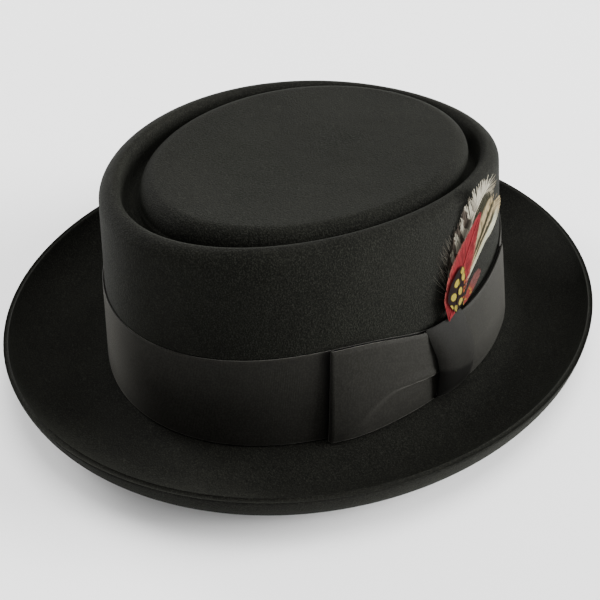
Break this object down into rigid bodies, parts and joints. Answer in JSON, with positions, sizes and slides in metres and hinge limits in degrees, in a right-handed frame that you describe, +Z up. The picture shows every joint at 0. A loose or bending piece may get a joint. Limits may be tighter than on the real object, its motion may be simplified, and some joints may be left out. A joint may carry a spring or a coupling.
{
  "type": "porkpie hat",
  "caption": "Porkpie hat of black felt with a telescoped flat-topped crown, a turned-up brim, a grosgrain band with a flat side bow and a tuft of feathers.",
  "frame": {"origin": "on the surface that the hat rests on, below the middle of its bounding box", "axes": "+Z up through the crown, -Y towards the wearer's front, +X towards the wearer's left, where the bow and the feathers are"},
  "size_m": [0.2628, 0.2936, 0.0957],
  "materials": {
    "felt": "black felt with a short soft nap",
    "ribbon": "black ribbed grosgrain ribbon",
    "feather_brown": "wispy brown and white hackle",
    "feather_barred": "cream feather with dark brown bars",
    "feather_striped": "tan feather with olive stripes and a pale quill",
    "feather_red": "dyed red feather",
    "feather_spotted": "dark brown feather with pale yellow spots"
  },
  "bodies": {
    "root": {"felt_body": "felt", "ribbon_band": "ribbon", "bow_front_loop": "ribbon", "bow_back_loop": "ribbon", "bow_knot": "ribbon", "feather_brown_hackle": "feather_brown", "feather_barred": "feather_barred", "feather_striped": "feather_striped", "feather_small_red": "feather_red", "feather_red": "feather_red", "feather_spotted": "feather_spotted"}
  },
  "joints": []
}
